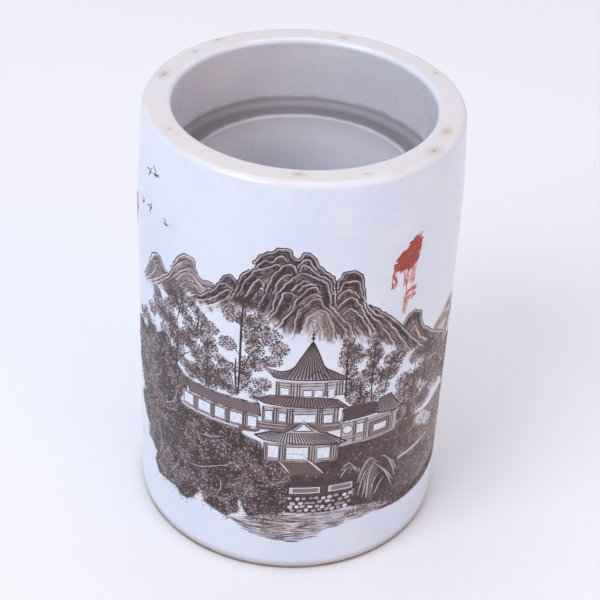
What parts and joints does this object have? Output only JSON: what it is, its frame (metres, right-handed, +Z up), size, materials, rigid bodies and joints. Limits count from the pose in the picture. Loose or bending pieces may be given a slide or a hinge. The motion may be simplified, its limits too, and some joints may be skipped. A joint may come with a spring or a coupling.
{
  "type": "brush holder pot",
  "caption": "Upright cylindrical porcelain brush pot with a flat lip, an inner ledge, a deep well and a sepia landscape painted round the wall.",
  "frame": {"origin": "middle of the foot ring's face, on the surface the pot stands on", "axes": "+Z up along the pot's axis of revolution, -Y towards the painted front, +X to the right of someone who looks at the front"},
  "size_m": [0.0904, 0.0903, 0.13],
  "materials": {
    "biscuit": "bare fired clay, matt",
    "porcelain": "fired porcelain body, matt",
    "glaze": "bluish white glaze, glossy",
    "lip_glaze": "thin cream glaze, satin to glossy",
    "inner_glaze": "grey-lilac glaze, glossy, stained in the corners",
    "sepia_enamel": "sepia overglaze enamel, fine brush lines",
    "iron_red_enamel": "iron-red overglaze enamel"
  },
  "bodies": {
    "root": {"foot_ring": "biscuit", "base_slab": "porcelain", "body_wall": "porcelain", "shoulder_ring": "porcelain", "mouth_ring": "porcelain", "outer_glaze": "glaze", "lip_glaze": "lip_glaze", "mouth_glaze": "inner_glaze", "ledge_glaze": "inner_glaze", "well_glaze": "inner_glaze", "floor_glaze": "inner_glaze", "underside_glaze": "glaze", "landscape_enamel": "sepia_enamel", "red_bird_enamel": "iron_red_enamel", "small_red_bird_enamel": "iron_red_enamel", "far_bird_enamel_1": "sepia_enamel", "far_bird_enamel_2": "sepia_enamel", "far_bird_enamel_3": "sepia_enamel", "far_bird_enamel_4": "sepia_enamel", "far_bird_enamel_5": "sepia_enamel"}
  },
  "joints": []
}
